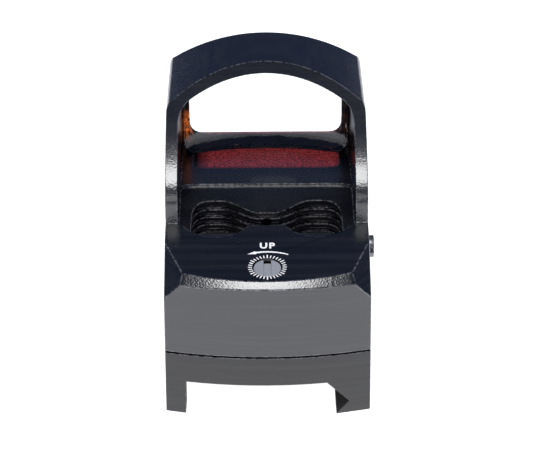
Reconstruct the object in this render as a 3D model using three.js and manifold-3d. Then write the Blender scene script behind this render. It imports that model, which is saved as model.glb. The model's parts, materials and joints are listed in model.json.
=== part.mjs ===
// A compact reflex red dot finder on a rail mount, as an assembly of separate pieces.
// Millimetres. X is to the right as the user sees it, Y runs forward from the rear face, Z is up.
// The root group moves the middle of the footprint to the origin, with the legs standing on Z = 0.

import * as THREE from "three";
import { mergeVertices } from "three/addons/utils/BufferGeometryUtils.js";
import Module from "manifold-3d";

const wasm = await Module();
wasm.setup();

// ---- Driving dimensions -------------------------------------------------------------------
const LENGTH = 43.3;
const HALF_WIDTH = 13.7;
const REAR_RADIUS = 45; // the rear face bulges backwards on this radius
const GAP = 0.3; // clearance between pieces that touch or slide

const SLOT_TOP = 4.73; // the underside that sits on the rail
const SEAM = 8.75; // top of the rail mount
const FLOOR = 8.95; // underside of the housing

const REAR_TOP = 18.82; // top of the rear face, where its chamfer starts
const CHAMFER = 0.84;
const SLOPE_DEG = 12.34; // the rear block's top face rises forward
const RIDGE = { y: 13.32, z: 22.37 }; // highest line of the rear block
const CORNER = { y: 24.93, z: 35.06 }; // where an ear meets the hood's arch
const EAR_FOOT = { y: 13.62, z: 24.6 };
const HOOD_TOP = 39.15;
const HOOD_WALL = 1.7; // of the two ears
const HOOD_CROWN = 1.2; // of the arch over the window
const RIM_DEG = 32.7; // slope of the hood's rear rim

const DECK = 22.6; // floor of the window space
const LENS_POCKET = { floor: 22.2, y: 32.5, halfWidth: 10.4, corner: 2 };
const DECK_REAR = 26.75; // the deck ends here in a small step
const RAMP_TOP = 22.28; // a ramp falls from the step to the trench
const RAMP_FOOT = { y: 19.57, z: 21.3 };
const LEDGE = { z: 21, y: 17.7 }; // level strip on each side of the trench
const TRENCH_FLOOR = 16.6;
const TRENCH_HALF_WIDTH = 10.25;
// The trench's front wall swings forward round each mounting screw, from a saddle in the middle.
const LOBE = { x: 6.9, reach: 3.2, start: 1, end: 6.2, cornerX: 7.6, cornerY: 18, square: 2.5 };
const SCOOP = { radius: 4.9, y: 15.4, bottom: 21, front: 16 }; // cut in the rear block's edge
const GROOVE = { count: 4, pitch: 1.12, height: 0.42, depth: 0.45, first: 0.45, rear: 17 };

const LIP = { y: 42.7, halfWidth: 11.2, bottom: 24.0, inset: 0.8 }; // front frame round the lens
const LENS = { halfWidth: 11.7, bottom: 22.5, rearRadius: 30, thick: 1.6, rear: 41.0, z: 29.8 };

const BATTERY = { y: 31.6, radius: 10, thick: 3.2, bottom: 9.5 };
const BOARD = { bottom: 14.2, thick: 0.8, radius: 9.9 };
const CAVITY = { top: 20.2, low: 15.4, front: 24.5 }; // above low it stops short of the trench

const ELEVATION = {
  y: 3.9,
  headRadius: 1.83,
  headHeight: 1.7,
  headTop: -0.1,
  slotHalf: 0.5,
  slotDepth: 0.65,
  stemRadius: 0.9,
  stemEnd: -8,
};
const DETENT = { x: 2.4, z: -1.1, ball: 0.4, springX: 3.1 };
const SPRING = {
  detent: [0.34, 1.3, 4, 0.08], // radius, length, turns, wire radius
  lift: [0.8, 1.9, 4, 0.16],
  side: [0.75, 2.7, 5, 0.14],
};
const WINDAGE = { y: 12.2, z: 19.5, headRadius: 1.5, stemRadius: 0.75, proud: 0.7, stemEnd: 2.5 };
const BUTTON = { y: 33.8, z: 18.2, radius: 3.8, proud: 0.3, thick: 1.6, stemRadius: 1.4 };
const PLUG = { y: 38.6, z: 23.4, radius: 1.55, proud: 0.3 };
const MOUNT_SCREW = { x: LOBE.x, y: 17.4, radius: 1.5, headRadius: 2.75, headTop: 18.3, end: 5.9 };
const CLAMP_SCREW = { z: 6.1, radius: 0.95, headRadius: 1.6, headHeight: 1.1, end: -4.5 };
const CLAMP_SCREW_Y = { clamp_screw_rear: 11.5, clamp_screw_front: 32 };
const JAW = { rear: 5.3, front: 38, top: 8.1, inner: -9.3, travel: 2.1 };
const RAIL = { left: -11, flat: 7.84, apex: 10.85 }; // the slot's section: wall, flat, V groove
const PIN = { radius: 0.8, bottom: 7, top: 10.6 };
const PIN_PLACES = [[-9.6, 3.9], [9.6, 3.9], [-9.4, 41.2], [9.4, 41.2]];

const slopeTan = Math.tan(THREE.MathUtils.degToRad(SLOPE_DEG));
const slopeZ = (y) => RIDGE.z - (RIDGE.y - y) * slopeTan;

// ---- Solid tools --------------------------------------------------------------------------
function solid(geometry) {
  const bare = geometry.clone();
  bare.deleteAttribute("normal");
  bare.deleteAttribute("uv");
  const merged = mergeVertices(bare, 1e-4);
  const vertProperties = merged.attributes.position.array;
  const triVerts = new Uint32Array(merged.index.array);
  return new wasm.Manifold(new wasm.Mesh({ numProp: 3, vertProperties, triVerts }));
}

function geometryOf(manifold) {
  const mesh = manifold.getMesh();
  const geometry = new THREE.BufferGeometry();
  geometry.setAttribute("position", new THREE.BufferAttribute(mesh.vertProperties, 3));
  geometry.setIndex(new THREE.BufferAttribute(mesh.triVerts, 1));
  geometry.computeVertexNormals();
  return geometry;
}

// An outline pushed out along one axis. The outline is drawn as (x, y) for axis "z",
// as (x, z) for axis "y" and as (y, z) for axis "x".
function prism(shape, axis, from, to, curveSegments = 16) {
  const depth = to - from;
  const geometry = new THREE.ExtrudeGeometry(shape, { depth, bevelEnabled: false, curveSegments });
  if (axis === "z") geometry.translate(0, 0, from);
  if (axis === "y") geometry.rotateX(Math.PI / 2).translate(0, to, 0);
  if (axis === "x") geometry.rotateX(Math.PI / 2).rotateZ(Math.PI / 2).translate(from, 0, 0);
  return solid(geometry);
}

function block(x0, x1, y0, y1, z0, z1) {
  const geometry = new THREE.BoxGeometry(x1 - x0, y1 - y0, z1 - z0);
  return solid(geometry.translate((x0 + x1) / 2, (y0 + y1) / 2, (z0 + z1) / 2));
}

// A round rod between two points.
function rod(radius, from, to, segments = 24) {
  const start = new THREE.Vector3(...from);
  const way = new THREE.Vector3(...to).sub(start);
  const geometry = new THREE.CylinderGeometry(radius, radius, way.length(), segments);
  geometry.translate(0, way.length() / 2, 0);
  const turn = new THREE.Quaternion().setFromUnitVectors(
    new THREE.Vector3(0, 1, 0),
    way.clone().normalize(),
  );
  return solid(geometry.applyQuaternion(turn).translate(start.x, start.y, start.z));
}

function ring(radius, section, segments = 40) {
  return new THREE.TorusGeometry(radius, section, 6, segments);
}

// A compression spring along +Z, starting at Z = 0.
class Helix extends THREE.Curve {
  constructor(radius, height, turns) {
    super();
    Object.assign(this, { radius, height, turns });
  }
  getPoint(t) {
    const angle = 2 * Math.PI * this.turns * t;
    const z = this.height * t;
    return new THREE.Vector3(this.radius * Math.cos(angle), this.radius * Math.sin(angle), z);
  }
}

function springGeometry(radius, height, turns, wire) {
  const section = new THREE.Shape().absarc(0, 0, wire, 0, 2 * Math.PI);
  const extrudePath = new Helix(radius, height - 2 * wire, turns);
  const steps = turns * 9;
  const options = { extrudePath, steps, curveSegments: 3 };
  return new THREE.ExtrudeGeometry(section, options).translate(0, 0, wire);
}

// The tilted frame of the elevation screw: its Z axis stands square on the sloping top face.
function elevationFrame() {
  const frame = new THREE.Matrix4().makeRotationX(THREE.MathUtils.degToRad(SLOPE_DEG));
  return frame.setPosition(0, ELEVATION.y, slopeZ(ELEVATION.y));
}

function tilted(manifold) {
  return solid(geometryOf(manifold).applyMatrix4(elevationFrame()));
}

// ---- Outlines -----------------------------------------------------------------------------
const ARCH_RISE = HOOD_TOP - CORNER.z;
const ARCH_RADIUS = (HALF_WIDTH ** 2 + ARCH_RISE ** 2) / (2 * ARCH_RISE);
const ARCH_CENTRE = HOOD_TOP - ARCH_RADIUS;
const INNER_RADIUS = ARCH_RADIUS - HOOD_CROWN;

// A door-like outline with an arched top, in X and Z, with rounded corners.
function archOutline(halfWidth, bottom, radius, topCorner, bottomCorner) {
  const reach = halfWidth - topCorner;
  const angle = Math.acos(reach / radius);
  const archEnd = ARCH_CENTRE + radius * Math.sin(angle);
  const shoulder = ARCH_CENTRE + Math.sqrt(radius ** 2 - halfWidth ** 2);
  const outline = new THREE.Shape();
  outline.moveTo(-halfWidth + bottomCorner, bottom);
  outline.lineTo(halfWidth - bottomCorner, bottom);
  if (bottomCorner) {
    outline.quadraticCurveTo(halfWidth, bottom, halfWidth, bottom + bottomCorner);
  }
  outline.lineTo(halfWidth, shoulder - topCorner);
  if (topCorner) outline.quadraticCurveTo(halfWidth, shoulder, reach, archEnd);
  outline.absarc(0, ARCH_CENTRE, radius, angle, Math.PI - angle);
  if (topCorner) outline.quadraticCurveTo(-halfWidth, shoulder, -halfWidth, shoulder - topCorner);
  outline.lineTo(-halfWidth, bottom + bottomCorner);
  if (bottomCorner) {
    outline.quadraticCurveTo(-halfWidth, bottom, -halfWidth + bottomCorner, bottom);
  }
  return outline;
}

function polygon(points) {
  return new THREE.Shape(points.map(([x, y]) => new THREE.Vector2(x, y)));
}

// Side view of the hood with its two ears, in Y and Z.
function hoodSideOutline() {
  const over = HOOD_TOP + 1;
  const rimTop = CORNER.y + (over - CORNER.z) / Math.tan(THREE.MathUtils.degToRad(RIM_DEG));
  const outline = polygon([
    [EAR_FOOT.y, RAMP_FOOT.z - 2],
    [LENGTH, RAMP_FOOT.z - 2],
    [LENGTH, over],
    [rimTop, over],
    [CORNER.y, CORNER.z],
  ]);
  outline.bezierCurveTo(20.2, 32, EAR_FOOT.y, 28.2, EAR_FOOT.y, EAR_FOOT.z);
  return outline;
}

// How far forward the trench's front wall stands at x.
function trenchWallY(x) {
  const away = Math.abs(x);
  const rise = THREE.MathUtils.clamp((away - LOBE.start) / (LOBE.end - LOBE.start), 0, 1);
  const wall = RAMP_FOOT.y + LOBE.reach * 0.5 * (1 - Math.cos(Math.PI * rise));
  if (away <= LOBE.cornerX) return wall;
  const turn = Math.min(1, (away - LOBE.cornerX) / (TRENCH_HALF_WIDTH - LOBE.cornerX));
  const share = (1 - turn ** LOBE.square) ** (1 / LOBE.square);
  return LOBE.cornerY + (wall - LOBE.cornerY) * share;
}

// Plan of the trench between the rear block and the ramp, grown sideways and forward.
function trenchOutline(grow) {
  const steps = 44;
  const stretch = (TRENCH_HALF_WIDTH + grow) / TRENCH_HALF_WIDTH;
  const points = [];
  for (let i = 0; i <= steps; i++) {
    const x = TRENCH_HALF_WIDTH * Math.cos((Math.PI * i) / steps);
    points.push([x * stretch, trenchWallY(x) + grow]);
  }
  const end = TRENCH_HALF_WIDTH + grow;
  points.push([-end, RIDGE.y - 1], [end, RIDGE.y - 1]);
  return polygon(points);
}

// Plan of the low ground behind the deck, whose edge turns rearwards beside each ear.
function rampOutline() {
  const inside = HALF_WIDTH - HOOD_WALL;
  const side = DECK_REAR - 1.4;
  const straight = inside - 2.8;
  const outline = new THREE.Shape().moveTo(-inside, RIDGE.y - 1).lineTo(inside, RIDGE.y - 1);
  outline.lineTo(inside, side).quadraticCurveTo(inside, DECK_REAR, straight, DECK_REAR);
  outline.lineTo(-straight, DECK_REAR).quadraticCurveTo(-inside, DECK_REAR, -inside, side);
  return outline;
}

// ---- Housing ------------------------------------------------------------------------------
function rearBulge(top) {
  const profile = [
    [0, -1],
    [REAR_RADIUS, -1],
    [REAR_RADIUS, REAR_TOP],
    [REAR_RADIUS - (top - REAR_TOP), top],
    [0, top],
  ].map(([r, z]) => new THREE.Vector2(r, z));
  const lathe = new THREE.LatheGeometry(profile, 128);
  return solid(lathe.rotateX(Math.PI / 2).translate(0, REAR_RADIUS, 0));
}

// A large block whose one face lies on the plane through three points.
function cutterBeyond(p, q, r) {
  const size = 30;
  const plane = new THREE.Plane().setFromCoplanarPoints(p, q, r);
  if (plane.normal.z < 0) plane.negate();
  const geometry = new THREE.BoxGeometry(size, size, size).translate(0, 0, size / 2);
  const turn = new THREE.Quaternion().setFromUnitVectors(
    new THREE.Vector3(0, 0, 1),
    plane.normal,
  );
  return solid(geometry.applyQuaternion(turn).translate(p.x, p.y, p.z));
}

function bodyBlank() {
  const side = polygon([
    [-1, FLOOR],
    [LENGTH, FLOOR],
    [LENGTH, LIP.bottom],
    [LIP.y, LIP.bottom],
    [LIP.y, DECK],
    [RAMP_FOOT.y, DECK],
    [RAMP_FOOT.y, RIDGE.z],
    [RIDGE.y, RIDGE.z],
    [-1, slopeZ(-1)],
  ]);
  let blank = prism(side, "x", -HALF_WIDTH, HALF_WIDTH).intersect(rearBulge(RIDGE.z + 2));
  for (const s of [-1, 1]) {
    const low = new THREE.Vector3(s * HALF_WIDTH, 2.14, 16.71);
    const inner = new THREE.Vector3(s * 11, 2.2, slopeZ(2.2));
    const high = new THREE.Vector3(s * HALF_WIDTH, 9.5, slopeZ(9.5));
    blank = blank.subtract(cutterBeyond(low, inner, high));
  }
  return blank;
}

function hoodShell() {
  const outer = archOutline(HALF_WIDTH, RAMP_FOOT.z - 2, ARCH_RADIUS, 0, 0);
  const space = archOutline(HALF_WIDTH - HOOD_WALL, DECK - 4, INNER_RADIUS, 1.5, 0);
  const window = archOutline(LIP.halfWidth, LIP.bottom, INNER_RADIUS - LIP.inset, 1.5, 2);
  const y0 = EAR_FOOT.y - 1;
  return prism(outer, "y", y0, LENGTH, 28)
    .intersect(prism(hoodSideOutline(), "x", -HALF_WIDTH, HALF_WIDTH, 12))
    .subtract(prism(space, "y", y0 - 1, LIP.y, 24))
    .subtract(prism(window, "y", y0, LENGTH + 1, 24));
}

function roundedRectangle(x0, x1, y0, y1, r) {
  const outline = new THREE.Shape();
  outline.moveTo(x0 + r, y0);
  outline.lineTo(x1 - r, y0).quadraticCurveTo(x1, y0, x1, y0 + r);
  outline.lineTo(x1, y1).lineTo(x0, y1);
  outline.lineTo(x0, y0 + r).quadraticCurveTo(x0, y0, x0 + r, y0);
  return outline;
}

// Where the rear block's front face stands at height z; it is square to the sloping top.
function blockFrontY(z) {
  return RIDGE.y - 0.25 + (RIDGE.z - z) * slopeTan;
}

function rampCut() {
  const over = RIDGE.z + 2;
  const side = polygon([
    [blockFrontY(over), over],
    [blockFrontY(LEDGE.z), LEDGE.z],
    [LEDGE.y, LEDGE.z],
    [RAMP_FOOT.y, RAMP_FOOT.z],
    [DECK_REAR + 0.1, RAMP_TOP],
    [DECK_REAR + 0.1, over],
  ]);
  return prism(side, "x", -HALF_WIDTH, HALF_WIDTH).intersect(prism(rampOutline(), "z", 20, over));
}

function trench() {
  const side = TRENCH_HALF_WIDTH + GROOVE.depth;
  const rearWall = polygon([
    [blockFrontY(RIDGE.z + 1), RIDGE.z + 1],
    [blockFrontY(TRENCH_FLOOR), TRENCH_FLOOR],
    [DECK_REAR, TRENCH_FLOOR],
    [DECK_REAR, RIDGE.z + 1],
  ]);
  let cut = prism(trenchOutline(0), "z", TRENCH_FLOOR, RIDGE.z + 1);
  cut = cut.intersect(prism(rearWall, "x", -side, side));
  for (let i = 0; i < GROOVE.count; i++) {
    const z = RAMP_FOOT.z - GROOVE.first - i * GROOVE.pitch;
    const groove = prism(trenchOutline(GROOVE.depth), "z", z - GROOVE.height, z);
    cut = cut.add(groove.intersect(block(-side, side, GROOVE.rear, DECK_REAR, 15, 23)));
  }
  for (const s of [-1, 1]) {
    const { radius, y, bottom, front } = SCOOP;
    const scoop = rod(radius, [s * LOBE.x, y, bottom], [s * LOBE.x, y, RIDGE.z + 1], 40);
    cut = cut.add(scoop.intersect(block(-HALF_WIDTH, HALF_WIDTH, 0, front, 0, HOOD_TOP)));
  }
  return cut.add(rampCut());
}

function elevationCuts() {
  const head = rod(ELEVATION.headRadius + GAP, [0, 0, -2.1], [0, 0, 1], 40);
  const stem = rod(ELEVATION.stemRadius + GAP, [0, 0, -4], [0, 0, 0]);
  const sealSeat = rod(1.8, [0, 0, -3.3], [0, 0, -2.5], 32);
  const detent = rod(0.65, [1.9, 0, -1.1], [4.8, 0, -1.1], 16);
  const nutSpace = block(-2.2, 2.2, -2, 2.6, -14, -3.6);
  const carriageSpace = block(-4.9, 4.9, 2.4, 8.9, -14, -1.9);
  const springBore = rod(1.1, [-7.2, 5.8, -6], [-4.5, 5.8, -6], 24);
  const cuts = [stem, sealSeat, detent, nutSpace, carriageSpace, springBore];
  return tilted(cuts.reduce((all, cut) => all.add(cut), head));
}

function windageCuts() {
  const { y, z } = WINDAGE;
  const head = rod(WINDAGE.headRadius + GAP, [HALF_WIDTH - 1.1, y, z], [HALF_WIDTH + 1, y, z], 40);
  const stem = rod(WINDAGE.stemRadius + GAP, [2, y, z], [HALF_WIDTH, y, z]);
  return head.add(stem);
}

function buttonCuts() {
  const { y, z } = BUTTON;
  const back = -HALF_WIDTH - BUTTON.proud + BUTTON.thick + 0.6;
  const seat = rod(BUTTON.radius + GAP, [-HALF_WIDTH - 1, y, z], [back, y, z], 48);
  return seat.add(rod(BUTTON.stemRadius + GAP, [-HALF_WIDTH, y, z], [-8, y, z]));
}

function sensorPort() {
  const outline = new THREE.Shape().moveTo(-0.66, 18.9).lineTo(0.66, 18.9);
  outline.lineTo(0.66, 19.7).absarc(0, 19.7, 0.66, 0, Math.PI);
  return prism(outline, "y", RAMP_FOOT.y - 0.5, RAMP_FOOT.y + 0.95, 12);
}

function batteryCavity() {
  const radius = BATTERY.radius + GAP;
  const low = rod(radius, [0, BATTERY.y, 0], [0, BATTERY.y, CAVITY.low], 64);
  const high = rod(radius, [0, BATTERY.y, 0], [0, BATTERY.y, CAVITY.top], 64);
  return low.add(high.intersect(block(-radius, radius, CAVITY.front, LENGTH, 0, CAVITY.top)));
}

function housing() {
  const pocket = roundedRectangle(
    -LENS_POCKET.halfWidth,
    LENS_POCKET.halfWidth,
    LENS_POCKET.y,
    LIP.y,
    LENS_POCKET.corner,
  );
  const seal = ring(BATTERY.radius + 0.9, 0.3).translate(0, BATTERY.y, FLOOR);
  const cuts = [
    trench(),
    prism(pocket, "z", LENS_POCKET.floor, LIP.bottom),
    batteryCavity(),
    solid(seal),
    block(-2, 2, 10, 24, 0, 15.2), // channel for the ribbon
    block(-1.6, 1.6, 12, 15, 17.6, 20.3), // the emitter shines through here
    elevationCuts(),
    windageCuts(),
    buttonCuts(),
    sensorPort(),
    rod(PLUG.radius + GAP, [12.15, PLUG.y, PLUG.z], [HALF_WIDTH + 1, PLUG.y, PLUG.z], 32),
  ];
  for (const s of [-1, 1]) {
    const x = s * MOUNT_SCREW.x;
    cuts.push(rod(MOUNT_SCREW.radius + GAP, [x, MOUNT_SCREW.y, 0], [x, MOUNT_SCREW.y, 17]));
  }
  for (const [x, y] of PIN_PLACES) {
    cuts.push(rod(PIN.radius + GAP, [x, y, 0], [x, y, PIN.top + GAP]));
  }
  const blank = bodyBlank().add(hoodShell());
  return cuts.reduce((whole, cut) => whole.subtract(cut), blank);
}

// ---- Rail mount and clamp -----------------------------------------------------------------
function railMount() {
  const apexZ = SLOT_TOP - (RAIL.apex - RAIL.flat);
  const below = -1;
  const slot = polygon([
    [RAIL.left, below],
    [RAIL.apex - (apexZ - below), below],
    [RAIL.apex, apexZ],
    [RAIL.flat, SLOT_TOP],
    [RAIL.left, SLOT_TOP],
  ]);
  let mount = block(-HALF_WIDTH, HALF_WIDTH, -1, LENGTH, 0, SEAM).intersect(rearBulge(20));
  mount = mount.subtract(prism(slot, "y", -2, LENGTH + 1));
  mount = mount.subtract(block(-HALF_WIDTH - 1, JAW.inner, JAW.rear, JAW.front, -1, JAW.top));
  for (const y of Object.values(CLAMP_SCREW_Y)) {
    const z = CLAMP_SCREW.z;
    mount = mount.subtract(rod(CLAMP_SCREW.radius + GAP, [-10, y, z], [-2, y, z]));
  }
  for (const x of [-MOUNT_SCREW.x, MOUNT_SCREW.x]) {
    const { y, radius } = MOUNT_SCREW;
    mount = mount.subtract(rod(radius + GAP, [x, y, 5.5], [x, y, 9]));
  }
  for (const [x, y] of PIN_PLACES) {
    mount = mount.subtract(rod(PIN.radius + GAP, [x, y, PIN.bottom - GAP], [x, y, 9]));
  }
  return mount;
}

function clampJaw() {
  const section = polygon([
    [-HALF_WIDTH, GAP],
    [-11.9, GAP],
    [-11.9, 0.87],
    [-11.05, 1.72],
    [-11.9, 2.57],
    [-11.9, JAW.top - GAP],
    [-HALF_WIDTH, JAW.top - GAP],
  ]);
  let jaw = prism(section, "y", JAW.rear + GAP, JAW.front - GAP);
  for (const y of Object.values(CLAMP_SCREW_Y)) {
    const z = CLAMP_SCREW.z;
    const seat = -HALF_WIDTH + CLAMP_SCREW.headHeight + GAP;
    jaw = jaw.subtract(rod(CLAMP_SCREW.headRadius + GAP, [-15, y, z], [seat, y, z], 32));
    jaw = jaw.subtract(rod(CLAMP_SCREW.radius + GAP, [-15, y, z], [-11, y, z]));
  }
  return jaw;
}

// A screw along +X with a slotted head whose outer face is at x = from.
function slottedScrew(from, to, y, z, headRadius, headHeight, radius, slot) {
  const way = Math.sign(to - from);
  const headEnd = from + way * headHeight;
  const head = rod(headRadius, [from, y, z], [headEnd, y, z], 32);
  const stem = rod(radius, [headEnd - way * 0.1, y, z], [to, y, z]);
  const [x0, x1] = [from - way, from + way * slot.depth].sort((a, b) => a - b);
  const half = slot.width / 2;
  return head.add(stem).subtract(block(x0, x1, y - 5, y + 5, z - half, z + half));
}

function clampScrew(y) {
  const slot = { width: 0.5, depth: 0.5 };
  const { end, z, headRadius, headHeight, radius } = CLAMP_SCREW;
  return slottedScrew(-HALF_WIDTH, end, y, z, headRadius, headHeight, radius, slot);
}

function mountingScrew(x) {
  const { y, headTop, headRadius, radius, end } = MOUNT_SCREW;
  const seat = TRENCH_FLOOR + 0.2;
  const head = rod(headRadius, [x, y, seat], [x, y, headTop], 32);
  const shank = rod(radius, [x, y, end], [x, y, seat + 0.1]);
  const socket = rod(1.15, [x, y, seat + 0.5], [x, y, headTop + 1], 6);
  return head.add(shank).subtract(socket);
}

function sidePlugScrew() {
  const { y, z, radius, proud } = PLUG;
  const slot = { width: 0.45, depth: 0.5 };
  return slottedScrew(HALF_WIDTH + proud, 12.4, y, z, radius, 1, 1.2, slot);
}

// ---- Lens ---------------------------------------------------------------------------------
const LENS_CENTRE_Y = LENS.rear - LENS.rearRadius;

function lensBall(radius) {
  return solid(new THREE.SphereGeometry(radius, 72, 48).translate(0, LENS_CENTRE_Y, LENS.z));
}

function lensOutline() {
  return archOutline(LENS.halfWidth, LENS.bottom, INNER_RADIUS - GAP, 1.5, 2.2);
}

function lens() {
  return prism(lensOutline(), "y", 30, 50, 24)
    .intersect(lensBall(LENS.rearRadius + LENS.thick))
    .subtract(lensBall(LENS.rearRadius));
}

function lensSeal() {
  const hole = archOutline(LIP.halfWidth, LIP.bottom, INNER_RADIUS - LIP.inset, 1.5, 2);
  return prism(lensOutline(), "y", 35, LIP.y - 0.2, 24)
    .subtract(prism(hole, "y", 34, LENGTH, 24))
    .subtract(lensBall(LENS.rearRadius + LENS.thick + 0.25));
}

// ---- Controls and the optical engine, in the elevation screw's tilted frame ------------------
function elevationDial() {
  const { headRadius, headHeight, headTop, slotHalf, slotDepth, stemRadius, stemEnd } = ELEVATION;
  const head = rod(headRadius, [0, 0, headTop - headHeight], [0, 0, headTop], 48);
  const stem = rod(stemRadius, [0, 0, stemEnd], [0, 0, headTop - headHeight + 0.3]);
  const slot = block(-slotHalf, slotHalf, -3, 3, headTop - slotDepth, 1);
  return head.add(stem).subtract(slot);
}

function elevationNut() {
  const body = block(-1.9, 1.9, -1.7, 3.9, -6.6, -5);
  return body.subtract(rod(ELEVATION.stemRadius + GAP, [0, 0, -8], [0, 0, -4]));
}

function emitterBlock() {
  return block(-1.5, 1.5, 4.2, 7.5, -8, -2.8).add(block(-1.5, 1.5, 2.8, 4.4, -8, -6.9));
}

function windageCarriage() {
  const rightCheek = block(1.85, 3.9, 4.2, 7.5, -11.4, -2.2);
  const leftCheek = block(-3.9, -1.85, 4.2, 7.5, -11.4, -2.2);
  const bridge = block(-3, 3, 4.2, 7.5, -11.4, -10.4);
  const lug = block(2.2, 3.9, 7, 8.65, -4, -2.2);
  const screwY = 7.94;
  const screwZ = -2.57;
  const thread = rod(WINDAGE.stemRadius + GAP, [1.8, screwY, screwZ], [5, screwY, screwZ]);
  return rightCheek.add(leftCheek).add(bridge).add(lug).subtract(thread);
}

function windageDial() {
  const slot = { width: 0.5, depth: 0.5 };
  const from = HALF_WIDTH + WINDAGE.proud;
  const { y, z, headRadius, stemRadius, stemEnd } = WINDAGE;
  return slottedScrew(from, stemEnd, y, z, headRadius, 1.4, stemRadius, slot);
}

function powerButton() {
  const { y, z, radius, proud, thick, stemRadius } = BUTTON;
  const face = -HALF_WIDTH - proud;
  const cap = rod(radius, [face, y, z], [face + thick, y, z], 48);
  return cap.add(rod(stemRadius, [face + 0.5, y, z], [-9.5, y, z]));
}

// ---- Electronics ----------------------------------------------------------------------------
function batteryCell() {
  const { y, radius, bottom, thick } = BATTERY;
  const can = rod(radius, [0, y, bottom + 0.4], [0, y, bottom + thick], 64);
  return can.add(rod(radius - 1.1, [0, y, bottom], [0, y, bottom + 1], 48));
}

function contactUpper() {
  const z = BATTERY.bottom + BATTERY.thick + 0.2;
  const section = polygon([
    [BATTERY.y - 6, z + 0.9],
    [BATTERY.y - 5.2, z + 0.9],
    [BATTERY.y, z + 0.25],
    [BATTERY.y + 5.2, z + 0.9],
    [BATTERY.y + 6, z + 0.9],
    [BATTERY.y + 6, z + 1.1],
    [BATTERY.y + 5.2, z + 1.1],
    [BATTERY.y, z + 0.45],
    [BATTERY.y - 5.2, z + 1.1],
    [BATTERY.y - 6, z + 1.1],
  ]);
  return prism(section, "x", -1.5, 1.5);
}

function contactLower() {
  return rod(4, [0, BATTERY.y, SEAM + 0.25], [0, BATTERY.y, SEAM + 0.5], 32);
}

function circuitBoard() {
  const { bottom, thick, radius } = BOARD;
  return rod(radius, [0, BATTERY.y, bottom], [0, BATTERY.y, bottom + thick], 48);
}

const BOARD_TOP = BOARD.bottom + BOARD.thick;

function flexRibbon() {
  const section = polygon([
    [12.7, 16.19],
    [13.36, 13],
    [21, 13],
    [22.2, 13.7],
    [24.5, 13.7],
    [24.5, 13.9],
    [22, 13.9],
    [20.8, 13.2],
    [13.53, 13.2],
    [12.88, 16.23],
  ]);
  return prism(section, "x", -0.8, 0.8);
}

// ---- Assembly -------------------------------------------------------------------------------
const FINISH = {
  anodised: { color: 0x1b1c21, roughness: 0.45, metalness: 0.6 },
  steel: { color: 0x9a9ca0, roughness: 0.35, metalness: 1 },
  blackSteel: { color: 0x222226, roughness: 0.4, metalness: 0.8 },
  brass: { color: 0xb5924c, roughness: 0.35, metalness: 1 },
  rubber: { color: 0x101012, roughness: 0.9, metalness: 0 },
  glass: { color: 0xbfe6ea, roughness: 0.02, metalness: 0, transparent: true, opacity: 0.35 },
  board: { color: 0x1d4a2a, roughness: 0.5, metalness: 0 },
  plastic: { color: 0x17171a, roughness: 0.6, metalness: 0 },
  emitter: { color: 0xd02018, roughness: 0.3, metalness: 0 },
  flex: { color: 0xa8701c, roughness: 0.5, metalness: 0 },
};

function piece(name, shape, finish) {
  const geometry = shape.isBufferGeometry ? shape : geometryOf(shape);
  const mesh = new THREE.Mesh(geometry, new THREE.MeshStandardMaterial(FINISH[finish]));
  mesh.name = name;
  return mesh;
}

function bodyPieces() {
  const pieces = [
    piece("housing", housing(), "anodised"),
    piece("rail_mount", railMount(), "anodised"),
    piece("clamp_jaw", clampJaw(), "anodised"),
    piece("mounting_screw_left", mountingScrew(-MOUNT_SCREW.x), "blackSteel"),
    piece("mounting_screw_right", mountingScrew(MOUNT_SCREW.x), "blackSteel"),
    piece("side_plug_screw", sidePlugScrew(), "blackSteel"),
  ];
  for (const [name, y] of Object.entries(CLAMP_SCREW_Y)) {
    pieces.push(piece(name, clampScrew(y), "blackSteel"));
  }
  PIN_PLACES.forEach(([x, y], i) => {
    const pin = rod(PIN.radius, [x, y, PIN.bottom], [x, y, PIN.top], 16);
    pieces.push(piece("locating_pin_" + (i + 1), pin, "steel"));
  });
  return pieces;
}

function opticPieces() {
  const port = rod(0.42, [0, RAMP_FOOT.y + 0.25, 19.6], [0, RAMP_FOOT.y + 0.75, 19.6], 16);
  return [
    piece("lens", lens(), "glass"),
    piece("lens_seal", lensSeal(), "rubber"),
    piece("light_sensor", port, "glass"),
    piece("emitter_window", block(-1.3, 1.3, 13.15, 13.4, 17.9, 20), "glass"),
  ];
}

function controlPieces() {
  const windageSeal = ring(1.2, 0.14, 20).rotateY(Math.PI / 2);
  return [
    piece("windage_dial", windageDial(), "steel"),
    piece("windage_seal", windageSeal.translate(12.8, WINDAGE.y, WINDAGE.z), "rubber"),
    piece("power_button", powerButton(), "rubber"),
  ];
}

function electronicPieces() {
  const seal = ring(BATTERY.radius + 0.9, 0.18).translate(0, BATTERY.y, FLOOR);
  return [
    piece("base_seal", seal, "rubber"),
    piece("battery", batteryCell(), "steel"),
    piece("battery_contact_upper", contactUpper(), "brass"),
    piece("battery_contact_lower", contactLower(), "brass"),
    piece("circuit_board", circuitBoard(), "board"),
    piece("controller_chip", block(1, 5, 30, 34, BOARD_TOP + 0.25, 16.2), "plastic"),
    piece("tactile_switch", block(-8.9, -6.4, 31.6, 36, BOARD_TOP + 0.25, 19.8), "plastic"),
    piece("flex_ribbon", flexRibbon(), "flex"),
  ];
}

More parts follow.
